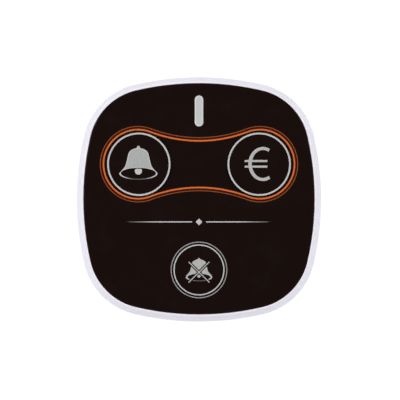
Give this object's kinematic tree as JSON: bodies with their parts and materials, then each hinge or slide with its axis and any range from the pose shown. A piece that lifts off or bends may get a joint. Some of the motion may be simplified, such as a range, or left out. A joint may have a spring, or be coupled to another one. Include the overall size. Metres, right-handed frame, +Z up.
{
  "type": "waiter call button",
  "caption": "Table call button: rounded-square white housing, gloss black face, round sprung keys, an indicator window and a coin-turn battery door.",
  "frame": {"origin": "on the table, under the centre of the housing, at the bottom of the rubber feet", "axes": "+Z up out of the face, +Y towards the indicator window, +X to the right of the face"},
  "size_m": [0.0806, 0.0806, 0.0195],
  "materials": {
    "white_shell": "satin white moulding",
    "black_face": "high gloss black",
    "tape": "adhesive film",
    "silicone": "translucent silicone",
    "carbon": "conductive rubber",
    "board": "green solder mask",
    "gold_pad": "plated copper",
    "milky_lens": "milky light guide",
    "chip_black": "moulded chip body with tinned legs",
    "chip_part": "ceramic with tinned ends",
    "can_metal": "nickel plate",
    "wire": "enamelled copper wire",
    "cell_metal": "brushed nickel",
    "screw_metal": "zinc plate",
    "rubber": "matte"
  },
  "bodies": {
    "housing": {"front_shell": "white_shell", "back_cover": "white_shell", "face_panel": "black_face", "panel_tape": "tape", "key_mat": "silicone", "call_dome": "silicone", "bill_dome": "silicone", "cancel_dome": "silicone", "circuit_board": "board", "contact_pads": "gold_pad", "indicator_lens": "milky_lens", "indicator_led": "milky_lens", "controller_chip": "chip_black", "radio_chip": "chip_black", "crystal_can": "can_metal", "chip_parts": "chip_part", "antenna_coil": "wire", "coin_cell": "cell_metal", "positive_contact": "gold_pad", "negative_contact": "gold_pad", "case_screws": "screw_metal", "board_screws": "screw_metal", "rubber_feet": "rubber"},
    "call_key": {"call_key": "black_face", "call_pill": "carbon"},
    "bill_key": {"bill_key": "black_face", "bill_pill": "carbon"},
    "cancel_key": {"cancel_key": "black_face", "cancel_pill": "carbon"},
    "battery_door": {"battery_door": "white_shell", "door_seal": "rubber"}
  },
  "joints": [
    {"name": "call_press", "type": "slide", "parent": "housing", "child": "call_key", "axis": [0, 0, -1], "range_m": [0, 0.0008], "stiffness_N_per_m": 600, "springref_m": -0.0012, "deforming": ["call_dome"]},
    {"name": "bill_press", "type": "slide", "parent": "housing", "child": "bill_key", "axis": [0, 0, -1], "range_m": [0, 0.0008], "stiffness_N_per_m": 600, "springref_m": -0.0012, "deforming": ["bill_dome"]},
    {"name": "cancel_press", "type": "slide", "parent": "housing", "child": "cancel_key", "axis": [0, 0, -1], "range_m": [0, 0.0008], "stiffness_N_per_m": 600, "springref_m": -0.0012, "deforming": ["cancel_dome"]},
    {"name": "door_turn", "type": "hinge", "parent": "housing", "child": "battery_door", "pos_m": [0, 0, 0.0012], "axis": [0, 0, -1], "range_deg": [0, 30]}
  ]
}
